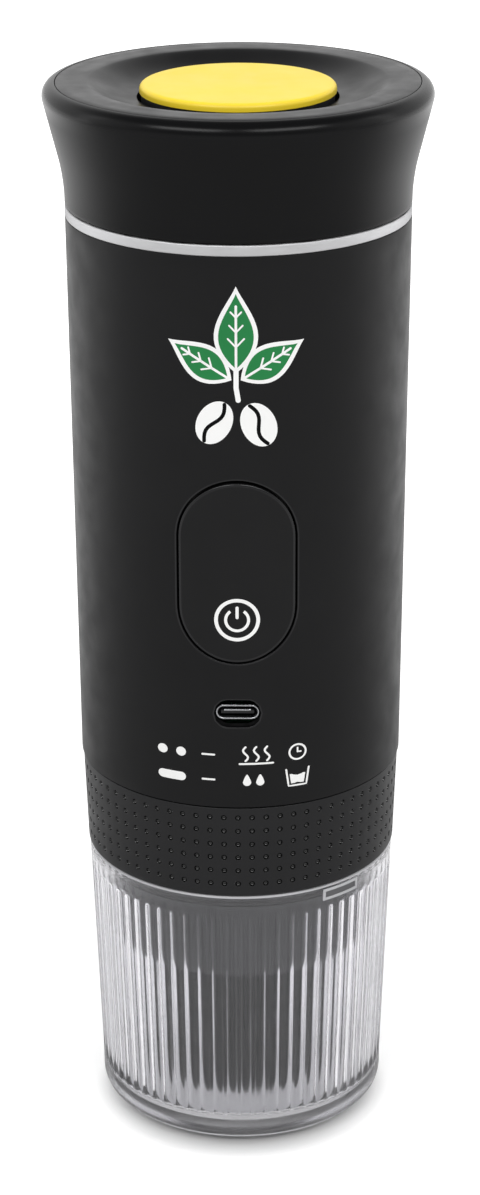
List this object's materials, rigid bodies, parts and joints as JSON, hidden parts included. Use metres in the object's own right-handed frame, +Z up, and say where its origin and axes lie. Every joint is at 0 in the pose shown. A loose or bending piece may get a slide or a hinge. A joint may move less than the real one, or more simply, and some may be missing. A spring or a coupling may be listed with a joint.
{
  "type": "portable coffee machine",
  "caption": "Slim upright battery coffee maker: flared screw lid with vent button, tapered black housing with power key and charging port, dimpled brew holder and ribbed smoky cup as a stand.",
  "frame": {"origin": "under the middle of the cup, on the surface that the machine stands on", "axes": "+Z up along the machine's axis, front with key and charging port towards -Y, +X to the right"},
  "size_m": [0.0782, 0.0782, 0.2251],
  "materials": {
    "smoky_clear": "clear smoky grey moulded plastic",
    "holder_black": "satin black moulded plastic",
    "grip_black": "soft-touch black with dimples",
    "housing_black": "fine satin black",
    "key_black": "smooth satin black",
    "lid_black": "fine satin black",
    "silver_trim": "polished silver",
    "vent_yellow": "satin yellow",
    "steel": "brushed stainless steel",
    "dark_rubber": "black rubber",
    "red_silicone": "red-brown silicone",
    "frame_grey": "grey moulded nylon",
    "cell_wrap": "blue shrink wrap",
    "board_green": "green circuit board",
    "part_black": "black moulded plastic",
    "led_white": "milky white",
    "natural_nylon": "off-white nylon",
    "magnet_grey": "dark ferrite",
    "copper": "copper",
    "hose_milky": "milky silicone hose",
    "insulator": "pale insulating board"
  },
  "bodies": {
    "cup": {"cup": "smoky_clear"},
    "holder": {"holder_body": "holder_black", "grip_sleeve": "grip_black", "spout": "holder_black", "cup_seal": "dark_rubber"},
    "basket": {"coffee_basket": "steel", "filter_plate": "steel"},
    "brew_seal": {"brew_gasket": "red_silicone"},
    "main_body": {"brew_head": "holder_black", "shower_screen": "steel", "shower_screw": "steel", "head_screws": "steel", "lower_frame": "frame_grey", "upper_frame": "frame_grey", "battery_cell_right": "cell_wrap", "battery_cell_rear": "cell_wrap", "battery_cell_left": "cell_wrap", "main_board": "board_green", "tact_switch": "part_black", "status_led": "led_white", "usb_shell": "steel", "usb_tongue": "part_black", "pump_cover": "natural_nylon", "pump_diaphragm": "dark_rubber", "pump_housing": "natural_nylon", "motor_can": "steel", "motor_cap": "natural_nylon", "motor_magnets": "magnet_grey", "inlet_hose": "hose_milky", "outlet_tube": "hose_milky", "insulator_disc": "insulator", "heater_plate": "copper", "thermal_sensor": "part_black", "water_tank": "steel", "neck_collar": "holder_black", "housing": "housing_black", "trim_ring": "silver_trim"},
    "key": {"power_key": "key_black", "switch_plunger": "natural_nylon"},
    "pump_rotor": {"motor_rotor": "copper", "drive_cam": "natural_nylon"},
    "lid_seal": {"lid_gasket": "red_silicone"},
    "lid": {"lid_shell": "lid_black", "lid_cover": "lid_black", "lid_liner": "natural_nylon", "lid_screws": "steel", "vent_spring": "steel"},
    "vent": {"vent_button": "vent_yellow", "vent_stem": "steel", "vent_valve": "dark_rubber"}
  },
  "joints": [
    {"name": "holder_lift", "type": "slide", "parent": "cup", "child": "holder", "axis": [0, 0, 1], "range_m": [0, 0.05]},
    {"name": "basket_lift", "type": "slide", "parent": "holder", "child": "basket", "axis": [0, 0, 1], "range_m": [0, 0.038]},
    {"name": "body_rise", "type": "slide", "parent": "basket", "child": "brew_seal", "axis": [0, 0, 1], "range_m": [0, 0.015]},
    {"name": "body_turn", "type": "hinge", "parent": "brew_seal", "child": "main_body", "pos_m": [0, 0, 0.0815], "axis": [0, 0, 1], "range_deg": [0, 540]},
    {"name": "key_press", "type": "slide", "parent": "main_body", "child": "key", "axis": [0, 1, 0], "range_m": [0, 0.0005], "stiffness_N_per_m": 2000, "springref_m": -0.0005},
    {"name": "pump_spin", "type": "hinge", "parent": "main_body", "child": "pump_rotor", "pos_m": [0, -0.00624, 0.13], "axis": [0, 0, 1], "continuous": true},
    {"name": "lid_rise", "type": "slide", "parent": "main_body", "child": "lid_seal", "axis": [0, 0, 1], "range_m": [0, 0.0125]},
    {"name": "lid_turn", "type": "hinge", "parent": "lid_seal", "child": "lid", "pos_m": [0, 0, 0.2005], "axis": [0, 0, 1], "range_deg": [0, 450]},
    {"name": "vent_press", "type": "slide", "parent": "lid", "child": "vent", "axis": [0, 0, -1], "range_m": [0, 0.002], "stiffness_N_per_m": 500, "springref_m": -0.002, "deforming": ["vent_spring"]}
  ],
  "couplings": [
    {"joint": "body_rise", "follows": "body_turn", "m_per_rad": 0.0015915},
    {"joint": "lid_rise", "follows": "lid_turn", "m_per_rad": 0.0015915}
  ]
}
